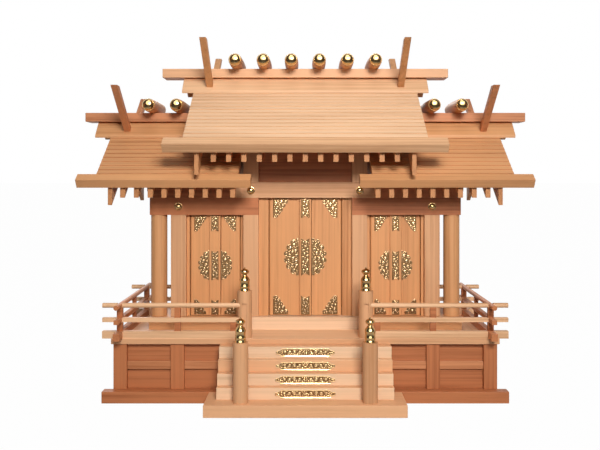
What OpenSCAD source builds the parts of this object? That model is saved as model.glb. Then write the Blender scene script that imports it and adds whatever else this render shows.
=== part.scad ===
// Three-door household shrine of plain wood with brass fittings.
// Origin: centre of the base plate's underside. X to the right, Y to the back, Z up. Millimetres.

/* [Base] */
// Thickness of the base plates
base_t = 14.5; // [10:0.5:20]
// Depth of the base plate's broad front and back edges
plinth_d = 14.5; // [13:0.5:24]
// Width of the stair's base plate
stair_plate_w = 241; // [230:1:260]
// How far the stair's base plate stands out in front
stair_plate_d = 57; // [56:1:70]

/* [Substructure] */
// Height of the posts between base plate and veranda
sub_h = 57.5; // [48:0.5:72]
// Width of the posts
sub_post_w = 17; // [12:0.5:22]
// Setback of the posts from the base plate's edge
sub_inset = 12; // [8:0.5:16]
// Distance of the inner posts from the middle
sub_stile_x = 162; // [145:1:180]
// Setback of the panels behind the post faces
panel_recess = 6; // [4:0.5:8]
// Thickness of the panels
panel_t = 6; // [4:0.5:8]
// Height of the rails on the panels
sub_rail_h = 10; // [7:0.5:14]
// Setback of the rails behind the post faces
sub_rail_recess = 2.5; // [1:0.5:3.5]
// Height of the rails' lower edge over the base plate
sub_rail_rise = 25; // [18:0.5:30]

/* [Veranda] */
// Thickness of the veranda boards
floor_t = 7; // [5:0.5:10]
// Overhang of the veranda past the posts
floor_over = 2.5; // [1:0.5:6]
// Depth of the veranda before the doors
front_walk = 63.5; // [60:0.5:70]
// Depth of the veranda behind the back wall
back_walk = 19.5; // [16:0.5:24]
// Width of the veranda beside the body
side_walk = 64.5; // [54:0.5:72]

/* [Stair] */
// Width of the steps
step_w = 215; // [200:1:224]
// Number of steps
step_count = 4;
// Depth of each tread
tread = 9.8; // [8:0.1:10]
// Depth of the highest step before the posts
upper_tread_d = 16; // [14:0.5:17]
// Width of the brass plates on the risers
riser_plate_w = 72.5; // [50:0.5:90]
// Height of the brass plates on the risers
riser_plate_h = 9; // [6:0.5:11]

/* [Newels] */
// Diameter of the newel posts
newel_dia = 18.5; // [15:0.5:20]
// Distance of the newels from the middle
newel_x = 77.3; // [72:0.1:84]
// Distance of the lower newels from the front edge of their plate
newel_edge = 4; // [2:0.5:5]
// Height of the lower newels
lower_newel_h = 72; // [60:0.5:85]
// Height of the upper newels
upper_newel_h = 59.4; // [50:0.5:70]
// Height of the brass caps
cap_h = 30; // [24:0.5:36]
// Radius of the brass caps' rim
cap_r = 6.6; // [5:0.1:7]
// Width of the groove in the upper newels
groove_w = 5.8; // [3:0.1:8]
// Height of the groove's upper end over the veranda
groove_top = 44; // [30:1:48]
// Depth of the groove
groove_depth = 2.2; // [0.8:0.1:3]

/* [Railing] */
// Setback of the front and back rails from the veranda's edge
rail_inset_y = 5; // [4.5:0.1:8]
// Setback of the side rails from the veranda's edge
rail_inset_x = 10.5; // [6:0.5:14]
// How far the rails run on past each crossing
rail_tail = 22; // [14:0.5:26]
// Diameter of the round top rail
top_rail_dia = 6.2; // [5:0.1:8]
// Height of the top rail's middle over the veranda
top_rail_rise = 41.4; // [36:0.1:46]
// Width of the middle rail
mid_rail_w = 6; // [4:0.1:7]
// Height of the middle rail
mid_rail_h = 5.5; // [4:0.1:8]
// Height of the middle rail's middle over the veranda
mid_rail_rise = 23.3; // [19:0.1:27]
// Width of the bottom rail
low_rail_w = 8; // [6:0.1:9]
// Height of the bottom rail
low_rail_h = 9.2; // [6:0.1:11]
// Width of the rail posts
rail_post_w = 7.6; // [6:0.1:9]
// Depth of the rail posts
rail_post_d = 4.4; // [3:0.1:5]

/* [Body] */
// Height of the sill under the body
sill_h = 16.4; // [12:0.2:20]
// How far the sill stands out before and behind the pillars
sill_over = 6.2; // [4:0.2:9]
// Width of the square pillars
pillar_w = 20.5; // [17:0.5:23]
// Depth of the body, over its pillars
body_d = 90; // [80:1:105]
// Clear width between the middle pillars
hall_w = 126; // [110:1:145]
// Clear width between the middle and side pillars
bay_w = 77; // [66:0.5:92]
// Gap between the side pillars and the round outer posts
outer_post_gap = 6.6; // [3:0.1:9]
// Diameter of the round outer posts
outer_post_dia = 21.8; // [18:0.1:24]
// Height of the side doorways
bay_door_h = 136.6; // [125:0.2:150]
// Height of the beams over the side doors
beam_h = 23; // [20:0.5:27]
// Height of the beam over the middle door
tie_h = 21.2; // [18:0.2:24]
// How far the middle beam runs past its pillars
tie_over = 11; // [6:0.5:14]
// Thickness of the walls
wall_t = 7.5; // [5:0.5:9]
// Radius of the brass studs on the beams
stud_r = 5.4; // [4:0.1:8]
// How far the brass studs stand out
stud_out = 4.2; // [3:0.1:6]
// How far the middle beam's studs sit below its middle
stud_drop = 0.7; // [0:0.1:2]

/* [Doors] */
// Thickness of a door leaf
leaf_t = 5; // [4:0.2:6]
// Setback of the leaves behind the pillars' front
door_setback = 7; // [6:0.5:9]
// Width of the middle door's jambs
hall_jamb_w = 13.3; // [8:0.1:18]
// Width of the side doors' jambs
bay_jamb_w = 4; // [3:0.1:6]
// How far the jambs stand before the leaves
jamb_out = 0.3; // [0.1:0.1:0.6]
// Gap between a plate and the jamb that it passes when the leaf is open
plate_gap = 0.5; // [0.4:0.1:2]
// Width of the batten on the middle door
hall_batten_w = 15.7; // [12:0.1:18]
// Width of the battens on the side doors
bay_batten_w = 14.8; // [10:0.1:16]
// Thickness of the battens
batten_t = 3; // [2:0.1:4]
// Running gap round the leaves
leaf_gap = 0.6; // [0.5:0.1:0.9]
// Diameter of the leaves' pivot pins
pin_dia = 3; // [2.4:0.1:3.4]
// Radial play of the pins in their holes
pin_play = 0.06; // [0.03:0.01:0.09]
// Length of the pivot pins
pin_len = 3.6; // [3:0.1:5]
// Thickness of the brass plates
plate_t = 0.8; // [0.6:0.1:1.2]
// Radius of the half-moon plates as a share of half the middle doorway
hall_moon_share = 0.58; // [0.45:0.01:0.62]
// The same for the side doorways
bay_moon_share = 0.66; // [0.5:0.01:0.7]
// Height of the corner plates as a share of half the middle doorway
hall_corner_share = 0.5; // [0.36:0.01:0.55]
// The same for the side doorways
bay_corner_share = 0.57; // [0.4:0.01:0.6]
// Width of the middle door's batten plates
hall_strip_w = 11; // [8:0.1:12]
// Width of the side doors' batten plates
bay_strip_w = 9.2; // [6:0.1:10]

/* [Roofs] */
// Pitch of the roofs
pitch = 35; // [32:0.5:37]
// Height of the pillars over the middle beam
upper_pillar_h = 63; // [58:0.5:74]
// Height of the side purlins at their front
side_purlin_h = 37.2; // [34:0.2:39]
// Thickness of the roof boards
roof_t = 12.4; // [9:0.1:13]
// How far the middle roof's covering reaches past the body in front and behind
main_reach = 73.6; // [62:0.1:84]
// How far the side roofs' covering reaches past the body in front and behind
side_reach = 51.5; // [44:0.1:60]
// Horizontal run of the middle eave boards
main_eave_run = 13; // [9:0.5:18]
// Horizontal run of the side eave boards
side_eave_run = 11; // [8:0.5:16]
// How far the middle roof's covering runs past the middle beam
main_over = 59; // [50:0.5:68]
// How far the side roofs' covering runs past the side beams
side_over = 57.6; // [52:0.2:70]
// How far the eave boards run past the covering
eave_over = 24.4; // [16:0.1:27]
// How far the side eave boards run in before the hall
eave_in = 14.2; // [8:0.2:20]
// Gap between the side roofs and the hall
abut_gap = 2; // [1:0.1:3]
// Exposed length of each course of the covering
course = 8.6; // [7:0.1:11]
// Height of each course's step
course_step = 0.7; // [0.4:0.1:1.4]
// Vertical height of the rafters
rafter_h = 15.9; // [13:0.1:18]
// Width of the rafters
rafter_w = 6.5; // [5:0.1:8]
// Spacing of the middle rafters
main_pitch_x = 19.2; // [17:0.1:20]
// Spacing of the side rafters
side_pitch_x = 17.6; // [16:0.05:18]
// Distance of the rafter ends behind the end of the covering
rafter_back = 0.5; // [0:0.1:8]
// Vertical height of the middle bargeboards
main_barge_h = 32; // [26:0.5:34]
// Vertical height of the side bargeboards
side_barge_h = 25; // [22:0.5:28]
// Thickness of the bargeboards
barge_t = 5.6; // [4:0.1:7]
// Overhang of the covering past the bargeboards
barge_inset = 17.2; // [14:0.1:20]
// Height of the middle purlins
purlin_h = 14; // [11:0.5:15]
// Depth of the purlins
purlin_d = 13; // [11:0.5:13.5]
// How far the side purlins run past the beams
purlin_over = 3.6; // [3:0.1:10]

/* [Ridges] */
// Half the width of the ridge caps at their foot
ridge_half = 27; // [24:0.5:28]
// Half the width of the ridge caps at their top
ridge_top_half = 9; // [7:0.5:12]
// Height of the ridge caps over the roof's apex
ridge_up = 5; // [4:0.1:7]
// Height of the ridge caps' lower lip
ridge_lip = 4; // [3:0.1:6]
// How far the ridge caps run past the covering
ridge_over = 15.5; // [10:0.5:22]
// How far the side ridge caps run past the covering
side_ridge_over = 21; // [14:0.5:26]
// Height of the ridge beams
ridge_beam_h = 12.2; // [9:0.1:13]
// Depth of the ridge beams
ridge_beam_d = 32; // [26:0.5:36]
// How far the ridge beams run past the caps
ridge_beam_over = 28.7; // [20:0.1:34]
// How far the side ridge beams run past the caps
side_ridge_beam_over = 16.5; // [10:0.5:24]
// Width of the finial blades
finial_w = 8.8; // [7:0.1:11]
// Distance of the finials from the ends of the covering
finial_inset = 22; // [18:0.1:25]
// Place of the finials' feet on the caps' slopes, from top to foot
finial_foot = 0.6; // [0.4:0.05:0.65]
// Thickness of the finial blades
finial_t = 8; // [5:0.1:9]
// Height of the finials over the roof's apex
finial_up = 46.5; // [40:0.5:56]
// Lean of the finial blades from upright
finial_lean = 53; // [47:1:55]
// Half the length of the ridge logs' barrel
log_half = 42; // [34:0.5:48]
// Radius of the ridge logs at their middle
log_r = 9.4; // [9:0.1:10]
// Radius of the ridge logs at their ends
log_end_r = 8.7; // [8.6:0.1:9]
// Number of ridge logs on the middle roof
log_count = 6;
// Distance of the end logs from the middle roof's finials
log_margin = 36.3; // [28:0.1:42]
// Distance of the inner side logs from the middle roof
side_log_gap = 21; // [16:0.5:26]
// Distance of the outer side logs from their finials
side_log_margin = 33; // [26:0.5:38]
// Radius of the brass log caps
log_cap_r = 8.2; // [6:0.1:8.6]
// How far the brass log caps stand out
log_cap_out = 5.6; // [3:0.1:7]

/* [Hidden] */
$fn = 48;

wood = "burlywood";
pale_wood = "wheat";
brass = "goldenrod";
// Overlap of a cutting shape past the face that it cuts
cut = 1;
// Seat clearance between a rail's hollowed end and the round newel
newel_seat = 0.1;
// Newel cap: the sleeve's and point's corners, and the ball, as shares of its radius and height
sleeve_shares = [[0, 0], [1, 0], [1, 0.05], [0.93, 0.07], [0.93, 0.38], [1, 0.41], [1, 0.46],
    [0.86, 0.54], [0.6, 0.61], [0.42, 0.66]];
point_shares = [[0.26, 0.93], [0.1, 0.97], [0, 1]];
ball_share = 0.87;
ball_rise = 0.805;
ball_flat = 0.12;
// End lobes of the riser plates as a share of their height
riser_lobe = 0.36;
// Corner plates: width as a share of their height, and the lobes of the long side, each with
// its place as shares of width and height and its radius as a share of the width
corner_share = 0.79;
corner_lobes = [[0.85, 0.12, 0.15], [0.67, 0.34, 0.14], [0.5, 0.55, 0.14], [0.35, 0.74, 0.13],
    [0.15, 0.88, 0.15]];
// Moon plates: cut level as a share of their radius, and the lobes round them
moon_cut = 0.86;
moon_lobe = 0.12;
moon_turn = 20;
// Depth of a strip's swallow-tail notch as a share of its width
tail_share = 0.3;

// Heights
floor_z = base_t + sub_h + floor_t;
sill_z = floor_z + sill_h;
beam_z = sill_z + bay_door_h;
tie_z = beam_z + beam_h;
upper_z = tie_z + tie_h;

// Widths
hall_pillar_x = (hall_w + pillar_w) / 2;
bay_x = hall_w / 2 + pillar_w + bay_w / 2;
side_pillar_x = bay_x + (bay_w + pillar_w) / 2;
body_half_w = side_pillar_x + pillar_w / 2;
outer_post_x = body_half_w + outer_post_gap + outer_post_dia / 2;
beam_end = outer_post_x + outer_post_dia / 2;
hall_half_w = hall_pillar_x + pillar_w / 2;
tie_half = hall_half_w + tie_over;
side_start = hall_half_w + abut_gap;
floor_half = body_half_w + side_walk;
sub_half = floor_half - floor_over;
base_w = 2 * (sub_half + sub_inset);

// Depths
base_d = body_d + front_walk + back_walk - 2 * floor_over + 2 * sub_inset;
sub_front = -base_d / 2 + sub_inset;
sub_back = base_d / 2 - sub_inset;
floor_front = sub_front - floor_over;
floor_back = sub_back + floor_over;
body_front = floor_front + front_walk;
body_back = floor_back - back_walk;
ridge_y = (body_front + body_back) / 2;
body_half = body_d / 2;
door_y = body_front + door_setback;

// Rails
front_rail_y = floor_front + rail_inset_y;
back_rail_y = floor_back - rail_inset_y;
side_rail_x = floor_half - rail_inset_x;
upper_newel_y = front_rail_y + newel_dia / 4;
lower_newel_y = -base_d / 2 - stair_plate_d + newel_dia / 2 + newel_edge;
step_rise = sub_h / step_count;

// Doors
hall_door_h = tie_z - sill_z;
heel_r = leaf_t / 2;
pin_r = pin_dia / 2;
pivot_y = door_y + heel_r;

// Roofs
ridge_slope_foot = ridge_half / cos(pitch);
main_half = tie_half + main_over;
side_end = beam_end + side_over;
main_run = body_half + main_reach;
side_run = body_half + side_reach;
roof_rise = body_half * tan(pitch) + roof_t / cos(pitch) + rafter_h;
main_apex = upper_z + upper_pillar_h + purlin_h + roof_rise;
side_apex = tie_z + side_purlin_h + roof_rise;
main_barge_x = main_half - barge_inset;
side_barge_x = side_end - barge_inset;
finial_x = main_half - finial_inset;
side_finial_x = side_end - finial_inset;
side_beam_start = main_barge_x + barge_t / 2 + abut_gap * 2;
main_ridge_half = main_half + ridge_over;
side_ridge_end = side_end + side_ridge_over;
log_pitch = 2 * (finial_x - log_margin) / (log_count - 1);
side_log_x = main_half + side_log_gap;
side_log_pitch = side_finial_x - side_log_margin - side_log_x;
// Clear gap between the two slopes at the apex, under the ridge cap
apex_gap = 1;

function riser_y(level) = sub_front - upper_tread_d - (step_count - level) * tread;
function roof_z(apex, d) = apex - d * tan(pitch);
function under_z(apex, d) = roof_z(apex, d) - roof_t / cos(pitch);
function rafter_z(apex, d) = under_z(apex, d) - rafter_h;
function cap_z(apex, d) = roof_z(apex, d) + course_step / cos(pitch);

// A box given by its lowest and highest corners
module span(low, high) {
    translate(low) cube(high - low);
}

// A profile drawn in the Y-Z plane, run along X between two places
module along_x(start, end) {
    translate([start, 0, 0]) rotate([90, 0, 90]) linear_extrude(end - start) children();
}

module both_sides() {
    children();
    mirror([1, 0, 0]) children();
}

// A copy in front and one behind the ridge
module both_slopes() {
    children();
    translate([0, 2 * ridge_y, 0]) mirror([0, 1, 0]) children();
}

// A plate that stands out at the sides only along its front and back
module base_plate() {
    notch = base_d / 2 - plinth_d;
    color(wood) difference() {
        span([-base_w / 2, -base_d / 2, 0], [base_w / 2, base_d / 2, base_t]);
        both_sides() span([sub_half, -notch, -cut], [base_w / 2 + cut, notch, base_t + cut]);
    }
}

module stair_base_plate() {
    color(wood) span([-stair_plate_w / 2, -base_d / 2 - stair_plate_d, 0],
        [stair_plate_w / 2, -base_d / 2, base_t]);
}

// Corner posts, and flat inner posts before the front and back panels
module base_posts() {
    top = base_t + sub_h;
    color(wood) both_sides() {
        for (y = [sub_front, sub_back - sub_post_w])
            span([sub_half - sub_post_w, y, base_t], [sub_half, y + sub_post_w, top]);
        for (y = [sub_front, sub_back - panel_recess])
            span([sub_stile_x - sub_post_w / 2, y, base_t],
                [sub_stile_x + sub_post_w / 2, y + panel_recess, top]);
    }
}

module base_panels() {
    top = base_t + sub_h;
    inner = sub_half - sub_post_w;
    color(wood) {
        for (y = [sub_front + panel_recess, sub_back - panel_recess - panel_t])
            span([-inner, y, base_t], [inner, y + panel_t, top]);
        both_sides()
            span([sub_half - panel_recess - panel_t, sub_front + sub_post_w, base_t],
                [sub_half - panel_recess, sub_back - sub_post_w, top]);
    }
}

module base_rails() {
    low = base_t + sub_rail_rise;
    high = low + sub_rail_h;
    depth = panel_recess - sub_rail_recess;
    inner = sub_stile_x - sub_post_w / 2;
    outer = sub_stile_x + sub_post_w / 2;
    color(wood) {
        for (y = [sub_front + sub_rail_recess, sub_back - panel_recess]) {
            span([-inner, y, low], [inner, y + depth, high]);
            both_sides() span([outer, y, low], [sub_half - sub_post_w, y + depth, high]);
        }
        both_sides()
            span([sub_half - panel_recess, sub_front + sub_post_w, low],
                [sub_half - sub_rail_recess, sub_back - sub_post_w, high]);
    }
}

// Veranda boards, mitred from the outer corners to the core board's corners
module floor_board(points) {
    translate([0, 0, floor_z - floor_t]) linear_extrude(floor_t) polygon(points);
}

module veranda_front_board() {
    color(pale_wood) floor_board([[-floor_half, floor_front], [floor_half, floor_front],
        [body_half_w, body_front], [-body_half_w, body_front]]);
}

module veranda_back_board() {
    color(pale_wood) floor_board([[-floor_half, floor_back], [-body_half_w, body_back],
        [body_half_w, body_back], [floor_half, floor_back]]);
}

module veranda_side_boards() {
    color(pale_wood) both_sides() floor_board([[floor_half, floor_front],
        [floor_half, floor_back], [body_half_w, body_back], [body_half_w, body_front]]);
}

module veranda_core() {
    color(pale_wood) span([-body_half_w, body_front, floor_z - floor_t],
        [body_half_w, body_back, floor_z]);
}

// Solid steps, stacked from the base plate up to the veranda's underside
module step_block(level) {
    color(wood) span([-step_w / 2, riser_y(level), base_t + (level - 1) * step_rise],
        [step_w / 2, sub_front, base_t + level * step_rise]);
}

module step_1() { step_block(1); }
module step_2() { step_block(2); }
module step_3() { step_block(3); }
module step_4() { step_block(4); }

// A long plate with rounded shoulders that run out in a small lobe at each end
module riser_outline() {
    half = riser_plate_w / 2;
    lobe = riser_plate_h * riser_lobe;
    hull() for (side = [-1, 1])
        translate([side * (half - riser_plate_h), 0]) circle(d = riser_plate_h);
    for (side = [-1, 1]) hull() {
        translate([side * (half - lobe / 2), 0]) circle(d = lobe);
        translate([side * (half - riser_plate_h), 0]) circle(d = 2 * lobe);
    }
}

module riser_plates() {
    color(brass) for (level = [1:step_count])
        translate([0, riser_y(level), base_t + (level - 1) * step_rise + step_rise / 2])
            rotate([90, 0, 0]) linear_extrude(plate_t) riser_outline();
}

module newel_posts() {
    color(pale_wood) both_sides() {
        translate([newel_x, lower_newel_y, base_t]) cylinder(d = newel_dia, h = lower_newel_h);
        translate([newel_x, upper_newel_y, floor_z]) difference() {
            cylinder(d = newel_dia, h = upper_newel_h);
            span([-groove_w / 2, -newel_dia, low_rail_h],
                [groove_w / 2, groove_depth - newel_dia / 2, groove_top]);
        }
    }
}

// Onion-shaped cap: rim, sleeve, shoulder, neck and a flattened ball drawn up to a point
module newel_cap() {
    ball_r = cap_r * ball_share;
    ball_z = cap_h * ball_rise;
    ball_h = cap_h * ball_flat;
    rotate_extrude() polygon(concat(
        [for (p = sleeve_shares) [cap_r * p[0], cap_h * p[1]]],
        [for (a = [-60:15:45]) [ball_r * cos(a), ball_z + ball_h * sin(a)]],
        [for (p = point_shares) [cap_r * p[0], cap_h * p[1]]]));
}

module newel_caps() {
    color(brass) both_sides() {
        translate([newel_x, lower_newel_y, base_t + lower_newel_h]) newel_cap();
        translate([newel_x, upper_newel_y, floor_z + upper_newel_h]) newel_cap();
    }
}

// Three rails along X between two places, with tall and short posts behind their faces;
// half-lapped where other rails cross
module railing(start, end, posts, short_posts, crossings, keep_low) {
    top_r = top_rail_dia / 2;
    mid_low = mid_rail_rise - mid_rail_h / 2;
    mid_high = mid_rail_rise + mid_rail_h / 2;
    difference() {
        union() {
            translate([start, 0, top_rail_rise]) rotate([0, 90, 0])
                cylinder(r = top_r, h = end - start);
            span([start, -mid_rail_w / 2, mid_low], [end, mid_rail_w / 2, mid_high]);
            span([start, -low_rail_w / 2, 0], [end, low_rail_w / 2, low_rail_h]);
            for (x = posts) rail_post(x, top_rail_rise);
            for (x = short_posts) rail_post(x, mid_rail_rise);
        }
        for (x = crossings) {
            lap(x, top_rail_rise, top_rail_dia, top_r, keep_low);
            lap(x, mid_rail_rise, mid_rail_w, mid_rail_h / 2, keep_low);
            lap(x, low_rail_h / 2, low_rail_w, low_rail_h / 2, keep_low);
        }
    }
}

module rail_post(x, top) {
    span([x - rail_post_w / 2, -rail_post_d / 2, low_rail_h / 2],
        [x + rail_post_w / 2, rail_post_d / 2, top]);
}

// The half of a crossing that is cut away from one of the two rails
module lap(x, middle, width, half_h, keep_low) {
    low = keep_low ? middle : middle - half_h;
    wide = max(width, rail_post_w);
    long = keep_low ? width : max(width, rail_post_d);
    translate([x - long / 2, -wide / 2 - cut, low]) cube([long, wide + 2 * cut, half_h]);
}

rail_end = side_rail_x + rail_tail;
near_newel_x = newel_x + (newel_dia + rail_post_w) / 2 + cut;

module front_railing() {
    translate([0, front_rail_y, floor_z]) difference() {
        railing(newel_x, rail_end, [sub_stile_x, side_rail_x], [near_newel_x],
            [side_rail_x], true);
        translate([newel_x, upper_newel_y - front_rail_y, -cut])
            cylinder(r = newel_dia / 2 + newel_seat, h = upper_newel_h);
    }
}

module front_railing_left() {
    color(wood) mirror([1, 0, 0]) front_railing();
}

module front_railing_right() {
    color(wood) front_railing();
}

module back_railing() {
    color(wood) translate([0, back_rail_y, floor_z])
        railing(-rail_end, rail_end,
            [-side_rail_x, -sub_stile_x, -newel_x, newel_x, sub_stile_x, side_rail_x], [],
            [-side_rail_x, side_rail_x], true);
}

module side_railing() {
    translate([side_rail_x, 0, floor_z]) rotate([0, 0, 90])
        railing(front_rail_y - rail_tail, back_rail_y + rail_tail,
            [(front_rail_y + back_rail_y) / 2], [], [front_rail_y, back_rail_y], false);
}

module left_railing() {
    color(wood) mirror([1, 0, 0]) side_railing();
}

module right_railing() {
    color(wood) side_railing();
}

// The doors: middle of the doorway, clear half width, batten width and the two pivots
function door_x(place) = place * bay_x;
function jamb_w(place) = place == 0 ? hall_jamb_w : bay_jamb_w;
function open_half(place) = (place == 0 ? hall_w : bay_w) / 2 - jamb_w(place);
function batten_w(place) = place == 0 ? hall_batten_w : bay_batten_w;
function door_h(place) = place == 0 ? hall_door_h : bay_door_h;
function pivot_x(place, side) = door_x(place) + side * (open_half(place) - leaf_gap - heel_r);
function meeting_x(place) = door_x(place) + batten_w(place) / 2;

// Holes for the pivot pins, cut from the sill and the beams
module pin_holes(place) {
    for (side = [-1, 1]) for (z = [sill_z, sill_z + door_h(place)])
        translate([pivot_x(place, side), pivot_y, z - pin_len])
            cylinder(r = pin_r + pin_play, h = 2 * pin_len);
}

module body_sill() {
    color(pale_wood) difference() {
        span([-beam_end, body_front - sill_over, floor_z], [beam_end, body_back + sill_over, sill_z]);
        for (place = [-1:1]) pin_holes(place);
    }
}

// Square pillars below the beams, and above the middle beams
module pillars() {
    half = pillar_w / 2;
    color(wood) both_sides() both_slopes() {
        for (x = [hall_pillar_x, side_pillar_x])
            span([x - half, body_front, sill_z], [x + half, body_front + pillar_w, beam_z]);
        span([hall_pillar_x - half, body_front, upper_z],
            [hall_pillar_x + half, body_front + pillar_w,
                rafter_z(main_apex, body_half) - purlin_h]);
    }
}

module outer_posts() {
    color(wood) both_sides() translate([outer_post_x, body_front + pillar_w / 2, sill_z])
        cylinder(d = outer_post_dia, h = bay_door_h);
}

// Beams over the side bays, with the pin holes of the side doors in the front pair
module side_beams() {
    color(wood) difference() {
        both_sides() {
            span([hall_w / 2, body_front, beam_z],
                [beam_end, body_front + pillar_w, tie_z]);
            span([hall_w / 2, body_back - pillar_w, beam_z], [body_half_w, body_back, tie_z]);
        }
        for (place = [-1, 1]) pin_holes(place);
    }
}

module tie_beams() {
    color(wood) difference() {
        both_slopes()
            span([-tie_half, body_front, tie_z], [tie_half, body_front + pillar_w, upper_z]);
        pin_holes(0);
    }
}

module stud() {
    rotate([90, 0, 0]) rotate_extrude()
        polygon(concat([[0, 0]], [for (a = [0:15:90]) [stud_r * cos(a), stud_out * sin(a)]]));
}

module beam_studs() {
    color(brass) both_sides() {
        translate([side_pillar_x, body_front, beam_z + beam_h / 2]) stud();
        translate([hall_pillar_x, body_front, tie_z + tie_h / 2 - stud_drop]) stud();
    }
}

// Outline of a purlin whose top follows the rafters' underside
module purlin_profile(apex, bottom) {
    inner = body_half - purlin_d;
    polygon([[body_front, bottom], [body_front + purlin_d, bottom],
        [body_front + purlin_d, rafter_z(apex, inner)], [body_front, rafter_z(apex, body_half)]]);
}

module purlins() {
    main_bottom = rafter_z(main_apex, body_half) - purlin_h;
    main_end = main_barge_x - barge_t / 2;
    color(wood) both_slopes() {
        along_x(-main_end, main_end) purlin_profile(main_apex, main_bottom);
        both_sides() difference() {
            along_x(tie_half, beam_end + purlin_over) purlin_profile(side_apex, tie_z);
            end_round(beam_end + purlin_over, tie_z, beam_h / 2);
        }
    }
}

// Cutter that rounds the lower outer corner of a side purlin
module end_round(x, z, r) {
    translate([x - r, body_front + purlin_d + cut, z]) rotate([90, 0, 0])
        linear_extrude(purlin_d + 2 * cut) difference() {
            translate([0, -cut]) square([r + cut, r + cut]);
            translate([0, r]) circle(r = r);
        }
}

// Wall between front and rear pillars, wider over them, its top following the rafters' underside
module gable_wall(x, apex, shoulder) {
    near = body_half - pillar_w;
    far = body_half - purlin_d;
    along_x(x, x + wall_t) polygon([[ridge_y - near, sill_z], [ridge_y + near, sill_z],
        [ridge_y + near, shoulder], [ridge_y + far, shoulder],
        [ridge_y + far, rafter_z(apex, far)], [ridge_y, rafter_z(apex, 0)],
        [ridge_y - far, rafter_z(apex, far)], [ridge_y - far, shoulder],
        [ridge_y - near, shoulder]]);
}

module side_walls() {
    color(wood) both_sides() gable_wall(body_half_w - wall_t, side_apex, tie_z);
}

module hall_walls() {
    shoulder = rafter_z(main_apex, body_half) - purlin_h;
    color(wood) both_sides() gable_wall(hall_half_w - wall_t, main_apex, shoulder);
}

module back_walls() {
    low_y = body_back - (pillar_w + wall_t) / 2;
    color(wood) {
        span([-hall_w / 2, low_y, sill_z], [hall_w / 2, low_y + wall_t, tie_z]);
        both_sides() span([bay_x - bay_w / 2, low_y, sill_z],
            [bay_x + bay_w / 2, low_y + wall_t, beam_z]);
    }
}

// Panels between the upper pillars, in front and behind
module upper_panels() {
    low_y = body_front + (pillar_w - wall_t) / 2;
    color(wood) both_slopes() span([-hall_w / 2, low_y, upper_z],
        [hall_w / 2, low_y + wall_t, rafter_z(main_apex, body_half) - purlin_h]);
}

module door_jambs() {
    low_y = door_y - jamb_out;
    high_y = door_y + leaf_t + jamb_out;
    color(wood) for (place = [-1:1]) for (side = [-1, 1]) {
        edge = door_x(place) + side * open_half(place);
        post = door_x(place) + side * (open_half(place) + jamb_w(place));
        span([min(edge, post), low_y, sill_z],
            [max(edge, post), high_y, sill_z + door_h(place)]);
    }
}

// A leaf with a round heel on its pivot; the left leaf also carries the batten
module leaf(place, side) {
    low = sill_z + leaf_gap;
    high = sill_z + door_h(place) - leaf_gap;
    heel_x = pivot_x(place, side);
    free_x = side < 0 ? meeting_x(place) : meeting_x(place) + leaf_gap;
    batten_x = meeting_x(place) - batten_w(place);
    color(wood) {
        span([min(heel_x, free_x), door_y, low], [max(heel_x, free_x), door_y + leaf_t, high]);
        translate([heel_x, pivot_y, low]) cylinder(r = heel_r, h = high - low);
        translate([heel_x, pivot_y, low - pin_len])
            cylinder(r = pin_r, h = high - low + 2 * pin_len);
        if (side < 0)
            span([batten_x, door_y - batten_t, low], [free_x, door_y, high]);
    }
}

module left_door_left_leaf() { leaf(-1, -1); }
module left_door_right_leaf() { leaf(-1, 1); }
module middle_door_left_leaf() { leaf(0, -1); }
module middle_door_right_leaf() { leaf(0, 1); }
module right_door_left_leaf() { leaf(1, -1); }
module right_door_right_leaf() { leaf(1, 1); }

// Brass plates of one leaf: two corner plates, a half moon and, on the batten, three strips
module leaf_plates(place, side) {
    moon_r = open_half(place) * (place == 0 ? hall_moon_share : bay_moon_share);
    corner = open_half(place) * (place == 0 ? hall_corner_share : bay_corner_share);
    strip_w = place == 0 ? hall_strip_w : bay_strip_w;
    low = sill_z + leaf_gap;
    high = sill_z + door_h(place) - leaf_gap;
    margin = pin_dia / 2;
    batten_x = meeting_x(place) - batten_w(place) / 2;
    outer_x = pivot_x(place, side) - side * (heel_r + jamb_out + plate_gap);
    moon_gap = batten_w(place) / 2 + 2 * leaf_gap;
    color(brass) {
        plate_sheet(door_y) {
            corner_outline(outer_x, low + margin, -side, 1, corner);
            corner_outline(outer_x, high - margin, -side, -1, corner);
            intersection() {
                translate([batten_x, (low + high) / 2]) moon_outline(moon_r);
                translate([side < 0 ? batten_x - moon_gap - 2 * moon_r : batten_x + moon_gap,
                    (low + high) / 2 - moon_r * moon_cut])
                    square([2 * moon_r, 2 * moon_r * moon_cut]);
            }
        }
        if (side < 0) plate_sheet(door_y - batten_t) {
            strip_outline(batten_x, low + margin, low + margin + corner, strip_w, false, true);
            strip_outline(batten_x, (low + high) / 2 - moon_r * moon_cut,
                (low + high) / 2 + moon_r * moon_cut, strip_w, true, true);
            strip_outline(batten_x, high - margin - corner, high - margin, strip_w, true, false);
        }
    }
}

module plate_sheet(face_y) {
    translate([0, face_y, 0]) rotate([90, 0, 0]) linear_extrude(plate_t) children();
}

// A corner plate with a lobed long side
module corner_outline(x, z, dir_x, dir_z, size) {
    width = size * corner_share;
    translate([x, z]) scale([dir_x, dir_z]) intersection() {
        union() {
            polygon(concat([[0, 0], [width, 0]],
                [for (lobe = corner_lobes) [width * lobe[0], size * lobe[1]]], [[0, size]]));
            for (lobe = corner_lobes) translate([width * lobe[0], size * lobe[1]])
                circle(r = width * lobe[2]);
        }
        square([width, size]);
    }
}

// A disc with lobes round its edge
module moon_outline(radius) {
    lobe = radius * moon_lobe;
    circle(r = radius - lobe);
    for (turn = [moon_turn / 2:moon_turn:360]) rotate(turn) translate([radius - lobe, 0])
        circle(r = lobe);
}

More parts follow.
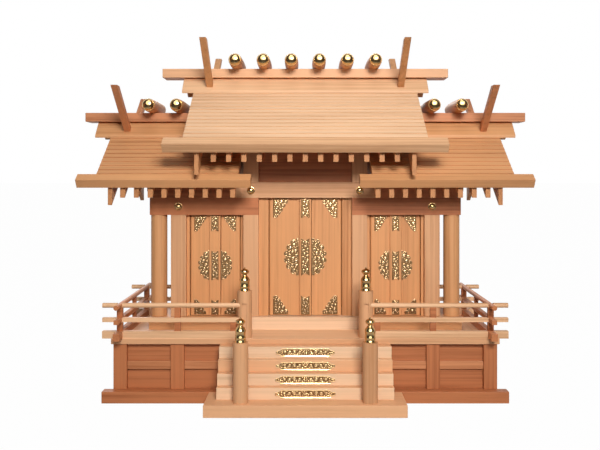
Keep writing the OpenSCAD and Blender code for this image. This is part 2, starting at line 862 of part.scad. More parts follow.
// A strip whose ends may be notched like a swallow's tail
module strip_outline(x, low, high, width, notch_low, notch_high) {
    dip = width * tail_share;
    polygon([[x - width / 2, low], [x, notch_low ? low + dip : low], [x + width / 2, low],
        [x + width / 2, high], [x, notch_high ? high - dip : high], [x - width / 2, high]]);
}

module left_door_left_plates() { leaf_plates(-1, -1); }
module left_door_right_plates() { leaf_plates(-1, 1); }
module middle_door_left_plates() { leaf_plates(0, -1); }
module middle_door_right_plates() { leaf_plates(0, 1); }
module right_door_left_plates() { leaf_plates(1, -1); }
module right_door_right_plates() { leaf_plates(1, 1); }

// Section of a rafter or bargeboard under the front slope
module rafter_profile(apex, run, height) {
    near = apex_gap / 2;
    polygon([[ridge_y - run, under_z(apex, run) - height],
        [ridge_y - near, under_z(apex, near) - height],
        [ridge_y - near, under_z(apex, near)], [ridge_y - run, under_z(apex, run)]]);
}

module main_rafters() {
    count = floor((main_barge_x - barge_t) / main_pitch_x);
    color(wood) both_slopes() for (i = [-count:count])
        along_x(i * main_pitch_x - rafter_w / 2, i * main_pitch_x + rafter_w / 2)
            rafter_profile(main_apex, main_run - rafter_back, rafter_h);
}

module side_rafters() {
    first = side_start + rafter_w + abut_gap / 2;
    count = floor((side_barge_x - barge_t - first) / side_pitch_x);
    color(wood) both_sides() both_slopes() for (i = [0:count])
        along_x(first + i * side_pitch_x - rafter_w / 2, first + i * side_pitch_x + rafter_w / 2)
            rafter_profile(side_apex, side_run - rafter_back, rafter_h);
}

module bargeboards() {
    color(wood) both_sides() both_slopes() {
        along_x(main_barge_x - barge_t / 2, main_barge_x + barge_t / 2)
            rafter_profile(main_apex, main_run, main_barge_h);
        along_x(side_barge_x - barge_t / 2, side_barge_x + barge_t / 2)
            rafter_profile(side_apex, side_run, side_barge_h);
    }
}

// One slope's section behind the ridge, drawn down the slope: stepped courses below the cap
module covering_profile(run) {
    low_end = run / cos(pitch);
    count = floor((low_end - ridge_slope_foot) / course);
    size = (low_end - ridge_slope_foot) / count;
    polygon(concat(
        [[(apex_gap + roof_t * sin(pitch)) / cos(pitch), -roof_t],
            [(apex_gap - course_step * sin(pitch)) / cos(pitch), course_step],
            [ridge_slope_foot, course_step]],
        [for (i = [0:count - 1]) each [[ridge_slope_foot + i * size, 0],
            [ridge_slope_foot + (i + 1) * size, course_step]]],
        [[low_end, -roof_t]]));
}

module eave_profile(run, eave_run) {
    translate([run / cos(pitch), -roof_t]) square([eave_run / cos(pitch), roof_t]);
}

// A profile drawn down the slope, placed behind the ridge and run along X
module slope_x(apex, start, end) {
    translate([0, ridge_y, apex]) along_x(start, end) rotate(-pitch) children();
}

module main_roof() {
    color(wood) both_slopes()
        slope_x(main_apex, -main_half, main_half) covering_profile(main_run);
}

module side_roofs() {
    color(wood) both_sides() both_slopes()
        slope_x(side_apex, side_start, side_end) covering_profile(side_run);
}

module eave_boards() {
    color(pale_wood) both_slopes() {
        slope_x(main_apex, -main_half - eave_over, main_half + eave_over)
            eave_profile(main_run, main_eave_run);
        both_sides() slope_x(side_apex, hall_half_w - eave_in, side_end + eave_over)
            eave_profile(side_run, side_eave_run);
    }
}

// Section of a ridge cap that sits on both slopes
module ridge_profile(apex) {
    lip = cap_z(apex, ridge_half);
    polygon([[ridge_y - ridge_half, lip], [ridge_y, cap_z(apex, 0)],
        [ridge_y + ridge_half, lip], [ridge_y + ridge_half, lip + ridge_lip],
        [ridge_y + ridge_top_half, apex + ridge_up], [ridge_y - ridge_top_half, apex + ridge_up],
        [ridge_y - ridge_half, lip + ridge_lip]]);
}

module ridge_caps() {
    color(wood) {
        along_x(-main_ridge_half, main_ridge_half) ridge_profile(main_apex);
        both_sides() along_x(side_start, side_ridge_end) ridge_profile(side_apex);
    }
}

module ridge_beams() {
    main_end = main_ridge_half + ridge_beam_over;
    half = ridge_beam_d / 2;
    color(wood) {
        span([-main_end, ridge_y - half, main_apex + ridge_up],
            [main_end, ridge_y + half, main_apex + ridge_up + ridge_beam_h]);
        both_sides() span([side_beam_start, ridge_y - half, side_apex + ridge_up],
            [side_ridge_end + side_ridge_beam_over, ridge_y + half,
                side_apex + ridge_up + ridge_beam_h]);
    }
}

// A forked finial: two blades that lean out from the cap's sloped faces, with level tops
module finial(x, apex) {
    low = cap_z(apex, ridge_half) + ridge_lip;
    fall = (apex + ridge_up - low) / (ridge_half - ridge_top_half);
    foot_d = ridge_top_half + (ridge_half - ridge_top_half) * finial_foot;
    foot_z = apex + ridge_up - (apex + ridge_up - low) * finial_foot;
    lean = tan(finial_lean);
    half = finial_t / cos(finial_lean) / 2;
    drop = half * fall / (1 + fall * lean);
    inset = half - lean * drop;
    top = apex + finial_up;
    reach = foot_d + (top - foot_z) * lean;
    both_slopes() along_x(x - finial_w / 2, x + finial_w / 2)
        polygon([[ridge_y - foot_d - inset, foot_z - drop], [ridge_y - reach - half, top],
            [ridge_y - reach + half, top], [ridge_y - foot_d + inset, foot_z + drop]]);
}

module finials() {
    color(wood) both_sides() {
        finial(finial_x, main_apex);
        finial(side_finial_x, side_apex);
    }
}

// Barrel-shaped log across the ridge, with a flat where it sits on the beam
module ridge_log(x, apex) {
    base = apex + ridge_up + ridge_beam_h;
    bulge = log_r - log_end_r;
    translate([x, ridge_y, base + log_r - course_step]) difference() {
        rotate([90, 0, 0]) rotate_extrude()
            polygon(concat([[0, -log_half]],
                [for (i = [-4:4]) [log_end_r + bulge * cos(i * 90 / 4), i * log_half / 4]],
                [[0, log_half]]));
        translate([-log_r, -ridge_beam_d, -2 * log_r]) cube([2 * log_r, 2 * ridge_beam_d,
            log_r + course_step]);
    }
}

module log_cap(x, apex, dir) {
    base = apex + ridge_up + ridge_beam_h;
    translate([x, ridge_y + dir * log_half, base + log_r - course_step]) rotate([-dir * 90, 0, 0])
        rotate_extrude() polygon(concat([[0, 0]],
            [for (a = [0:15:90]) [log_cap_r * cos(a), log_cap_out * sin(a)]]));
}

module each_log() {
    for (i = [0:log_count - 1]) {
        $log_x = (i - (log_count - 1) / 2) * log_pitch;
        $log_apex = main_apex;
        children();
    }
    for (side = [-1, 1]) for (i = [0, 1]) {
        $log_x = side * (side_log_x + i * side_log_pitch);
        $log_apex = side_apex;
        children();
    }
}

module ridge_logs() {
    color(wood) each_log() ridge_log($log_x, $log_apex);
}

module log_caps() {
    color(brass) each_log() for (dir = [-1, 1]) log_cap($log_x, $log_apex, dir);
}

base_plate();
stair_base_plate();
base_posts();
base_panels();
base_rails();
veranda_front_board();
veranda_back_board();
veranda_side_boards();
veranda_core();
step_1();
step_2();
step_3();
step_4();
riser_plates();
newel_posts();
newel_caps();
front_railing_left();
front_railing_right();
left_railing();
right_railing();
back_railing();
body_sill();
pillars();
outer_posts();
side_beams();
tie_beams();
beam_studs();
purlins();
side_walls();
hall_walls();
back_walls();
upper_panels();
door_jambs();
main_rafters();
side_rafters();
bargeboards();
main_roof();
side_roofs();
eave_boards();
ridge_caps();
ridge_beams();
finials();
ridge_logs();
log_caps();
left_door_left_leaf();
left_door_right_leaf();
middle_door_left_leaf();
middle_door_right_leaf();
right_door_left_leaf();
right_door_right_leaf();
left_door_left_plates();
left_door_right_plates();
middle_door_left_plates();
middle_door_right_plates();
right_door_left_plates();
right_door_right_plates();
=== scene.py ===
"""Looks of the three-door household shrine: eased wood, its grain, and chased brass fittings."""

import math
import random

import bmesh
import bpy
from mathutils import Matrix, Vector
from mathutils.geometry import intersect_point_line


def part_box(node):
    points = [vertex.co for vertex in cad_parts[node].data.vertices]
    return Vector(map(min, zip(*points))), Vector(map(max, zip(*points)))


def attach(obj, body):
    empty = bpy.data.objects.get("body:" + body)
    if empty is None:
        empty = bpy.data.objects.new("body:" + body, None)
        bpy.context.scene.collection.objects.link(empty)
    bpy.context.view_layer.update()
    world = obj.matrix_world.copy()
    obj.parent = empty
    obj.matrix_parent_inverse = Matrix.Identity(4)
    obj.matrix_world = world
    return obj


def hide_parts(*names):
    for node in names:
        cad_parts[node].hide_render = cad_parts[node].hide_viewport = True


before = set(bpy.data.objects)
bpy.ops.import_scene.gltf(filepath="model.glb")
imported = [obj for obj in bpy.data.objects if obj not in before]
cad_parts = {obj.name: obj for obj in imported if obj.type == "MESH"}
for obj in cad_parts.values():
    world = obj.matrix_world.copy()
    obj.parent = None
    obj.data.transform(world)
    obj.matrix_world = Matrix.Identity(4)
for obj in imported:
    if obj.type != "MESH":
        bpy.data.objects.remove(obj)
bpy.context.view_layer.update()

MM = 0.001
SHRINE = "shrine"
DOORS = ("left_door", "middle_door", "right_door")
SIDES = ("left", "right")

# Corners closer than this are one: of a node, and of a piece that is turned or cut here
WELD, FINE_WELD = 2e-6, 1e-6
# Faces that differ by less than the first angle are one flat; edges over the second are eased
FLAT_ANGLE = math.radians(0.5)
EASED_ANGLE = math.radians(25)
EASE_STEPS = 2
# How far edges are eased: by slot, and on the leaves of the doors
EASE = {"wood": 0.45 * MM, "roof_wood": 0.2 * MM}
LEAF_EASE = 0.35 * MM
# A normal's part along an axis, from which a face looks that way, and below which it lies along it
LOOKS_UP = 0.9
LIES_ALONG = 0.3
# Boards whose middle is further out than this belong to the side roofs and take their node's darker
# second tone, painted shade
SHADED_WING_X = 0.15
# Half of the sill's pale middle length, between the upper newels; beyond it the sill's ends take a
# darker tone, painted shade under the side doors
SILL_LIT_HALF = 72.5 * MM
# Most height of a lip between two courses of a roof; these lips take the darker second tone, a
# painted shadow line under each course
SHADOW_LIP_MOST = 1.2 * MM
# Heights over the veranda between a railing's rails, where only its posts are
RAIL_GAPS = ((9.7 * MM, 20.0 * MM), (26.5 * MM, 37.8 * MM))

# Edges over these angles, in degrees, are shaded sharp
BOARD_SHARP, BRASS_SHARP, LOG_SHARP, SCROLL_SHARP = 18, 40, 35, 60
# Points round a turned piece
TURN_STEPS = 40
# Radius of a ridge log's end and of its chamfer as shares, and the chamfer's length as a share
LOG_TAPER = 0.925
LOG_CHAMFER = 0.93
LOG_CHAMFER_LENGTH = 0.02
LOG_STEPS = 16
# A dome on a collar: the collar's share of the height, the straight share of the collar,
# and the radius of its top and of the dome's foot as shares
STUD_SHAPE = (0.2, 0.7, 0.94, 0.84)
LOG_END_SHAPE = (0.22, 0.8, 0.97, 0.95)
DOME_DEGREES = range(0, 90, 9)
# Onion cap, as shares of its radius and height: rim, bands, shoulder, neck, ball, drawn point
CAP_BODY = [(0, 0), (1, 0), (1, 0.045), (0.93, 0.065), (0.93, 0.15), (0.97, 0.165), (0.97, 0.195),
            (0.93, 0.21), (0.93, 0.37), (0.96, 0.395), (1, 0.41), (1, 0.45), (0.97, 0.48),
            (0.87, 0.53), (0.74, 0.575), (0.58, 0.615), (0.46, 0.64), (0.42, 0.66), (0.44, 0.685)]
CAP_BALL = (0.87, 0.12)
CAP_BALL_MIDDLE = 0.805
CAP_BALL_DEGREES = range(-55, 61, 10)
CAP_POINT = [(0.27, 0.925), (0.15, 0.955), (0.06, 0.985), (0, 1)]

# Depth of a plate's front rim, and the normal's part below which a face is a plate's edge
RIM_DEPTH = 0.1 * MM
EDGE_ON = 0.5
# How far a bead and a berry stand up from their plate, as a share of a round one's height
BEAD_FLAT = 0.62
BERRY_FLAT = 0.42
# A scroll: its turns and points, how far in it winds, its bead's first size and growth, its berry
SCROLL_TURNS = 1.55
SCROLL_STEPS = 16
SCROLL_WIND = 0.72
BEAD_START, BEAD_GROWTH = 0.8, 0.35
BERRY_SHARE = 0.3
# Packing of scrolls: least tries, tries for each square millimetre, how close two may come as a
# share of their radii, and how much of the rim they leave clear
LEAST_TRIES, TRIES_PER_AREA = 60, 0.8
CLOSENESS = 0.94
RIM_CLEAR = 0.4
# What is smaller than this is a leaf, with a length and a width as shares of its size
LEAF_MOST = 1.0 * MM
LEAF_LENGTH, LEAF_WIDTH = 1.25, 0.8
# A packed scroll's bead: a size, and a share of the scroll's radius on top of it
BEAD_BASE, BEAD_SHARE = 0.3 * MM, 0.11
# Door plates: bead of the rim, sizes to pack, and what tells a batten strip from other plates
DOOR_RIM = 0.38 * MM
DOOR_SCROLLS = (2.9 * MM, 2.2 * MM, 1.6 * MM, 0.9 * MM, 0.65 * MM)
STRIP_SCROLLS = (2.3 * MM, 1.6 * MM, 0.9 * MM, 0.65 * MM)
STRIP_WIDEST, STRIP_POINTS = 12 * MM, 9
# Riser plates: bead of the rim, its room among berries, and the middle's height as a share
RISER_SEED = 900
RISER_RIM = 0.45 * MM
RISER_RIM_ROOM = 0.8 * MM
RISER_MIDDLE = 0.58
RISER_BERRIES = (0.9 * MM, 0.65 * MM)
# Scrolls to each side of a riser plate's middle: (place from the middle, radius)
RISER_SCROLLS = ((7.0 * MM, 2.7 * MM), (13.2 * MM, 2.9 * MM), (19.4 * MM, 2.7 * MM),
                 (25.2 * MM, 2.3 * MM))
RISER_TURNS = 1.25
RISER_BEAD = 0.19
# The flower in the middle: petals, their reach, length and width, and the flower's radius
PETALS = 6
PETAL_REACH, PETAL_LENGTH, PETAL_WIDTH = 1.9 * MM, 1.1 * MM, 0.8 * MM
FLOWER_RADIUS = 3.2 * MM
# The convex band along a riser plate's lower edge: its curve, and where that starts and ends
BAND_CURVE = 2.2 * MM
BAND_TURN = (math.radians(13), math.radians(55))
BAND_STEPS = 6
BAND_SINK = 0.05 * MM
# Length of the band's tapered ends, and their thin end's share of its size
BAND_TAPER = 5 * MM
BAND_TIP = 0.3
# Share of the plate's height in which its outline counts as the lower edge
BAND_ZONE = 0.3

# Camera, from the photograph's vanishing points
PHOTO_W, PHOTO_H = 600, 450
FOCAL_PX = 760
CENTRE_PX = 305.3
HORIZON_PX = 176
CAMERA_PLACE = (0, -1.046, 0.2845)

# The floor: tone, roughness, half its length, how far it lies below the object, the share of it
# that glows, and where along Y the glow that mirrors see comes in
FLOOR_TONE = (0.5, 0.49, 0.48, 1)
FLOOR_ROUGHNESS = 0.9
FLOOR_HALF = 30
FLOOR_DROP = 0.5 * MM
FLOOR_GLOW = 0.985
FLOOR_FADE = (-0.5, 0.2)
# The light from all round, how dim the room behind the camera is, and where along Y it ends
AMBIENT = 0.16
ROOM_DIM = 0.92
ROOM_FADE = (-0.3, 0.6)
# A white card before the shrine that only mirrors see: its direction, its edge as cosines, its glow
CARD_WAY = (0.04, -0.88, 0.47)
CARD_EDGE = (0.82, 0.89)
CARD_GLOW = 2.8
WHITE = (1, 1, 1, 1)
# Softboxes: name, place, target, size, power in watts, spread in degrees
SOFTBOXES = (
    ("key", (0.2, -1.34, 0.86), (0.02, -0.05, 0.24), (0.5, 0.28), 3.95, 75),
    ("behind", (-0.3, 1.4, 1.0), (0, 0, 0.22), (0.6, 0.4), 1.6, 75),
    ("overhead", (0, -0.5, 1.5), (0, -0.1, 0.3), (0.7, 0.5), 0.9, 120),
)

# Tones of the wood, as linear colours: partly the wood's own tone, partly painted light and shade,
# as parts in strong light take the pale tones (sill, pale, roof) and parts in shade the darker ones
# (amber, chestnut, russet, side_roof)
TONES = {
    "sill": (0.715, 0.475, 0.295, 1),
    "pale": (0.72, 0.43, 0.238, 1),
    "honey": (0.69, 0.37, 0.19, 1),
    "post": (0.61, 0.318, 0.157, 1),
    "door": (0.595, 0.27, 0.105, 1),
    "amber": (0.60, 0.29, 0.122, 1),
    "chestnut": (0.54, 0.215, 0.09, 1),
    "russet": (0.43, 0.144, 0.051, 1),
    "roof": (0.735, 0.475, 0.29, 1),
    "side_roof": (0.59, 0.285, 0.122, 1),
}
# Axes that the grain of a tone runs along
GRAINS = {"sill": "x", "pale": "x", "honey": "xy", "post": "xz", "door": "z", "amber": "xyz",
          "chestnut": "xy", "russet": "xyz", "roof": "x", "side_roof": "x"}
# How strongly the grain shows, where it isn't 1
CONTRAST = {"roof": 0.8, "side_roof": 0.9, "door": 1.5, "russet": 1.8, "chestnut": 1.5,
            "sill": 1.3, "pale": 1.2}
END_GRAIN = (0.78, 0.69, 0.60, 1)
# Squared part of a normal along the grain, over which a face is end grain
END_CUT = 0.6
# Streaks in the wood: scale across the grain, share of it along the grain, detail, distortion
BROAD_STREAKS = (30, 0.1, 2.0, 0.4)
GROWTH_LINES = (260, 0.014, 1.5, 0.5)
FIBRES = (1100, 0.03, 3.0, 0.0)
# Shares of broad streaks, growth lines, fibres and the board's own number in the tone
TONE_SHARES = (0.34, 0.40, 0.14, 0.12)
# How far the number of a board moves its grain along each axis
BOARD_SHIFT = (3.1, 5.3, 4.7)
# Places of the dark, middle and light tone, how far they differ, and how that is shared
TONE_PLACES = (0.33, 0.5, 0.68)
TONE_SPREAD = 0.25
DARK_SHARES = (1, 1.3, 1.6)
LIGHT_SHARE = 0.42
# Relief of the wood: strength, depth, and the parts of growth lines and fibres in it
RELIEF, RELIEF_DEPTH = 0.12, 0.4 * MM
RELIEF_SHARES = (0.6, 0.4)
# Least roughness of the wood, what its fibres add, and its gloss
WOOD_ROUGHNESS, FIBRE_ROUGHNESS = 0.44, 0.16
WOOD_GLOSS = 0.35

# Brass finishes: material, linear colour, roughness, tarnish, and scale of the tarnish
BRASSES = {
    "brass": ("polished_brass", (0.68, 0.45, 0.20, 1), 0.05, 0.18, 260.0),
    # Riser scrollwork and band: a paler copy of the brass, painted highlight that whitens its
    # glints
    "chased": ("lit_chased_brass", (0.90, 0.65, 0.34, 1), 0.13, 0.15, 700.0),
    # Door scrollwork: a darker copy of the brass, painted shade that dims its reflections, with
    # tarnish
    "scroll": ("shade_dimmed_brass", (0.46, 0.30, 0.16, 1), 0.12, 0.3, 700.0),
    "ground": ("matted_brass", (0.22, 0.118, 0.045, 1), 0.38, 0.35, 900.0),
    # Behind the riser scrolls: dark brass for the holes of the pierced plate, painted shade
    "pit": ("pit_shade_brass", (0.24, 0.12, 0.045, 1), 0.35, 0.3, 900.0),
}
# Detail of the tarnish's noise, where tarnish ends and clean brass starts in it, and the
# roughness that it adds
TARNISH_DETAIL = 3.0
TARNISH_PLACES = (0.35, 0.65)
TARNISH_ROUGHNESS = 0.12

# Finishes of the wooden nodes; the second is for the faces that mark_faces picks. The darker tones
# on parts in shade are painted shade, the pale ones on brightly lit parts painted light
WOODEN = {
    # The body sill's ends take the amber tone: painted shade
    "sill_x amber_x": ("body_sill",),
    # Treads and veranda tops take a tone other than the fronts: painted light and shade on the tops
    "sill_x honey_x": ("step_1", "step_2", "step_4"),
    "honey_x pale_x": ("step_3",),
    "pale_x": ("veranda_core",),
    # Ridge caps, eave boards, ridge beams and finials of the side roofs take the second, darker
    # tone: painted shade
    "pale_x amber_x": ("ridge_caps", "eave_boards"),
    "honey_x chestnut_x": ("ridge_beams",),
    "pale_x russet_x": ("front_railing_left", "front_railing_right", "back_railing"),
    "honey_x": ("stair_base_plate",),
    "honey_y": ("veranda_side_boards",),
    "amber_y chestnut_y": ("finials",),
    "post_x": ("tie_beams",),
    "post_x pale_x": ("veranda_front_board", "veranda_back_board"),
    # The side railings take darker tones throughout: painted shade
    "chestnut_y russet_y": ("left_railing", "right_railing"),
    "post_z": ("newel_posts", "pillars"),
    "door_z": ("door_jambs",),
    "chestnut_x": ("base_rails",),
    "amber_y": ("main_rafters", "side_rafters", "bargeboards"),
    "amber_z": ("outer_posts",),
    # This dark tone is the wood's own on the base, and painted shade on the side beams, purlins and
    # upper panels under the eaves
    "russet_x": ("base_plate", "base_panels", "side_beams", "purlins", "upper_panels"),
    "russet_z": ("base_posts", "side_walls", "hall_walls", "back_walls"),
    # Roof course lips take the second, darker tone, a painted shadow line; the side roofs' whole
    # tone is darker, painted shade
    "roof_x amber_x": ("main_roof",),
    "side_roof_x russet_x": ("side_roofs",),
}


class Value:
    """A shader socket on which sums and products add Math nodes."""

    def __init__(self, shader, socket):
        self.shader, self.socket = shader, socket

    def maths(self, operation, first, second):
        return self.shader.node("ShaderNodeMath", {"operation": operation}, {0: first, 1: second})

    def __add__(self, other):
        return self.maths("ADD", self, other)

    def __sub__(self, other):
        return self.maths("SUBTRACT", self, other)

    def __rsub__(self, other):
        return self.maths("SUBTRACT", other, self)

    def __mul__(self, other):
        return self.maths("MULTIPLY", self, other)

    def __gt__(self, other):
        return self.maths("GREATER_THAN", self, other)


class Graph:
    """A node tree that is fed by sockets, numbers and colours."""

    def __init__(self, tree):
        self.tree = tree

    def node(self, kind, settings=None, inputs=None, output=0):
        made = self.tree.nodes.new(kind)
        for key, value in (settings or {}).items():
            if key == "stops":
                set_stops(made.color_ramp, value)
            else:
                setattr(made, key, value)
        for key, value in (inputs or {}).items():
            self.feed(made.inputs[key], value)
        return Value(self, made.outputs[output])

    def feed(self, socket, value):
        if isinstance(value, Value):
            self.tree.links.new(value.socket, socket)
        else:
            socket.default_value = value

    def fade(self, value, places, ends=(0.0, 1.0)):
        """A soft step between two places of a value."""
        return self.node("ShaderNodeMapRange", {"interpolation_type": "SMOOTHSTEP"},
                         {"Value": value, "From Min": places[0], "From Max": places[1],
                          "To Min": ends[0], "To Max": ends[1]})

    def dot(self, first, second):
        return self.node("ShaderNodeVectorMath", {"operation": "DOT_PRODUCT"},
                         {0: first, 1: second}, "Value")

    def y_of(self, vector):
        split = self.node("ShaderNodeSeparateXYZ", None, {0: vector}).socket.node.outputs
        return Value(self, split["Y"])

    def seen(self):
        """One for what the camera sees, through glass too, and one for what a mirror sees."""
        path = self.node("ShaderNodeLightPath").socket.node.outputs
        mirror = Value(self, path["Is Glossy Ray"])
        return Value(self, path["Is Camera Ray"]) + Value(self, path["Is Transmission Ray"]), mirror


class Shader(Graph):
    """A material and the nodes that feed its surface."""

    def __init__(self, name):
        self.material = bpy.data.materials.new(name)
        self.material.use_nodes = True
        super().__init__(self.material.node_tree)
        self.surface = self.tree.nodes["Principled BSDF"]

    def finish(self, **inputs):
        for key, value in inputs.items():
            self.feed(self.surface.inputs[key.replace("_", " ")], value)
        return self.material


def set_stops(ramp, stops):
    while len(ramp.elements) < len(stops):
        ramp.elements.new(0.5)
    for element, (place, colour) in zip(ramp.elements, stops):
        element.position, element.color = place, colour


def shade(colour, factor):
    return tuple(c * factor for c in colour[:3]) + (1,)


def planed_wood(name, tone, grain, contrast):
    """Plain wood: growth lines and fibres along one axis, a tone for each board, dark end grain."""
    s = Shader(name)
    along = "xyz".index(grain)
    place = s.node("ShaderNodeTexCoord", output="Object")
    board = s.node("ShaderNodeAttribute", {"attribute_name": "board"}, output="Fac")
    shift = s.node("ShaderNodeCombineXYZ", None,
                   {i: board * far for i, far in enumerate(BOARD_SHIFT)})
    moved = s.node("ShaderNodeVectorMath", {"operation": "ADD"}, {0: place, 1: shift})

    def streaks(scale, stretch, detail, distortion):
        size = [scale] * 3
        size[along] = scale * stretch
        at = s.node("ShaderNodeMapping", None, {"Vector": moved, "Scale": size})
        return s.node("ShaderNodeTexNoise", None,
                      {"Vector": at, "Scale": 1.0, "Detail": detail, "Distortion": distortion})

    broad, growth, fibre = (streaks(*kind) for kind in (BROAD_STREAKS, GROWTH_LINES, FIBRES))
    facing = s.node("ShaderNodeNewGeometry", output="True Normal")
    axis = [0.0, 0.0, 0.0]
    axis[along] = 1.0
    ahead = s.dot(facing, axis)
    cut_end = ahead * ahead > END_CUT
    wide, rings, thin, own = TONE_SHARES
    tone_mix = broad * wide + growth * rings + fibre * thin + board * own
    spread = TONE_SPREAD * contrast
    dark = tuple(c * (1 - share * spread) for c, share in zip(tone, DARK_SHARES)) + (1,)
    light = shade(tone, 1 + LIGHT_SHARE * spread)
    colour = s.node("ShaderNodeValToRGB", {"stops": list(zip(TONE_PLACES, (dark, tone, light)))},
                    {"Fac": tone_mix})
    colour = s.node("ShaderNodeMix", {"data_type": "RGBA", "blend_type": "MULTIPLY"},
                    {0: cut_end, 6: colour, 7: END_GRAIN}, 2)
    height = growth * RELIEF_SHARES[0] + fibre * RELIEF_SHARES[1]
    bump = s.node("ShaderNodeBump", None,
                  {"Strength": RELIEF, "Distance": RELIEF_DEPTH, "Height": height})
    return s.finish(Base_Color=colour, Roughness=fibre * FIBRE_ROUGHNESS + WOOD_ROUGHNESS,
                    Normal=bump, Specular_IOR_Level=WOOD_GLOSS)


def bright_brass(name, tone, roughness, tarnish, scale):
    """Polished brass with a little tarnish in soft patches."""
    s = Shader(name)
    place = s.node("ShaderNodeTexCoord", output="Object")
    patches = s.node("ShaderNodeTexNoise", None,
                     {"Vector": place, "Scale": scale, "Detail": TARNISH_DETAIL})
    tones = (shade(tone, 1 - tarnish), tone)
    colour = s.node("ShaderNodeValToRGB", {"stops": list(zip(TARNISH_PLACES, tones))},
                    {"Fac": patches})
    return s.finish(Base_Color=colour, Metallic=1.0,
                    Roughness=patches * TARNISH_ROUGHNESS + roughness)


def build_materials():
    made = {}
    for tone, colour in TONES.items():
        for grain in GRAINS[tone]:
            made[f"{tone}_{grain}"] = planed_wood(f"{tone}_wood_{grain}", colour, grain,
                                                  CONTRAST.get(tone, 1.0))
    for name, values in BRASSES.items():
        made[name] = bright_brass(*values)
    return made


finish = build_materials()


def add_piece(bm, name, material, body, nodes=(), sharp=BOARD_SHARP):
    """Turns a bmesh into a piece that rides on a body and may stand for CAD nodes.

    A material is one finish, or two: the second is for the faces marked with index 1."""
    mesh = bpy.data.meshes.new(name)
    bm.to_mesh(mesh)
    bm.free()
    for one in material.split():
        mesh.materials.append(finish[one])
    mesh.shade_smooth()
    mesh.set_sharp_from_angle(angle=math.radians(sharp))
    piece = bpy.data.objects.new(name, mesh)
    bpy.context.scene.collection.objects.link(piece)
    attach(piece, body)
    if nodes:
        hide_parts(*nodes)


def merged(node):
    """A copy of a node's mesh with its corners joined."""
    bm = bmesh.new()
    bm.from_mesh(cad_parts[node].data)
    bmesh.ops.remove_doubles(bm, verts=bm.verts, dist=WELD)
    return bm


def islands(bm):
    """The vertices of each separate solid."""
    seen, groups = set(), []
    for start in bm.verts:
        if start in seen:
            continue
        seen.add(start)
        group, queue = [], [start]
        while queue:
            vert = queue.pop()
            group.append(vert)
            for edge in vert.link_edges:
                other = edge.other_vert(vert)
                if other not in seen:
                    seen.add(other)
                    queue.append(other)
        groups.append(group)
    return groups


def corners(group):
    """Lowest and highest corner round some vertices."""
    return (Vector([min(v.co[i] for v in group) for i in range(3)]),
            Vector([max(v.co[i] for v in group) for i in range(3)]))


def solids(node):
    """Lowest and highest corner of each separate solid of a node."""
    bm = merged(node)
    boxes = [corners(group) for group in islands(bm)]
    bm.free()
    return boxes


def everything(bm):
    return bm.verts[:] + bm.edges[:] + bm.faces[:]


def mark_boards(bm):
    """Gives every separate board a number of its own, which its wood takes tone and grain from."""
    layer = bm.verts.layers.float.new("board")
    draw = random.Random(len(bm.verts))
    for island in islands(bm):
        number = draw.random()
        for vert in island:
            vert[layer] = number


def mark_faces(bm, node):
    """Index 1 for faces in a node's second tone: course lips (painted shadow), treads (painted
    light and shade), rail posts, outer lengths (painted shade).
    """
    if node.endswith(("roof", "roofs")):
        # Lips between courses take the darker second tone: a painted shadow line under each course
        marked = [f for f in bm.faces if abs(f.normal.x) < LIES_ALONG and f.normal.z < LIES_ALONG
                  and min(e.calc_length() for e in f.edges) < SHADOW_LIP_MOST]
    elif node == "body_sill":
        # The sill's ends under the side doors: painted shade
        for side in (-SILL_LIT_HALF, SILL_LIT_HALF):
            bmesh.ops.bisect_plane(bm, geom=everything(bm), dist=FINE_WELD,
                                   plane_co=(side, 0, 0), plane_no=(1, 0, 0))
        marked = [f for f in bm.faces if abs(f.calc_center_median().x) > SILL_LIT_HALF]
    elif node.startswith(("step_", "veranda_")):
        # Tops take a tone of their own, lighter or darker than the fronts as they are lit: painted
        # light and shade
        marked = [f for f in bm.faces if f.normal.z > LOOKS_UP]
    elif "railing" in node:
        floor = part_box("veranda_core")[1][2]
        marked = [f for f in bm.faces
                  if any(low < f.calc_center_median().z - floor < high for low, high in RAIL_GAPS)]
    else:
        # Solids out on the side roofs take the darker second tone: painted shade
        spans = [(corners(island), island) for island in islands(bm)]
        marked = [f for (low, high), island in spans if abs(low.x + high.x) / 2 > SHADED_WING_X
                  for v in island for f in v.link_faces]
    for face in marked:
        face.material_index = 1


def eased(node, material, body, ease):
    """A copy of a wooden node with its sharp edges eased, as sanding leaves them."""
    bm = merged(node)
    bmesh.ops.dissolve_limit(bm, angle_limit=FLAT_ANGLE, verts=bm.verts, edges=bm.edges)
    sharp = [e for e in bm.edges if len(e.link_faces) == 2 and e.calc_face_angle() > EASED_ANGLE]
    bmesh.ops.bevel(bm, geom=sharp, offset=ease, offset_type="OFFSET", affect="EDGES",
                    segments=EASE_STEPS, profile=0.5, clamp_overlap=True, material=-1)
    mark_boards(bm)
    if " " in material:
        mark_faces(bm, node)
    add_piece(bm, node + "_eased", material, body, [node])


def ease_wood():
    for material, nodes in WOODEN.items():
        slot = "roof_wood" if "roof" in material else "wood"
        for node in nodes:
            eased(node, material, SHRINE, EASE[slot])
    for door in DOORS:
        for side in SIDES:
            eased(f"{door}_{side}_leaf", "door_z", f"{door}_{side}", LEAF_EASE)


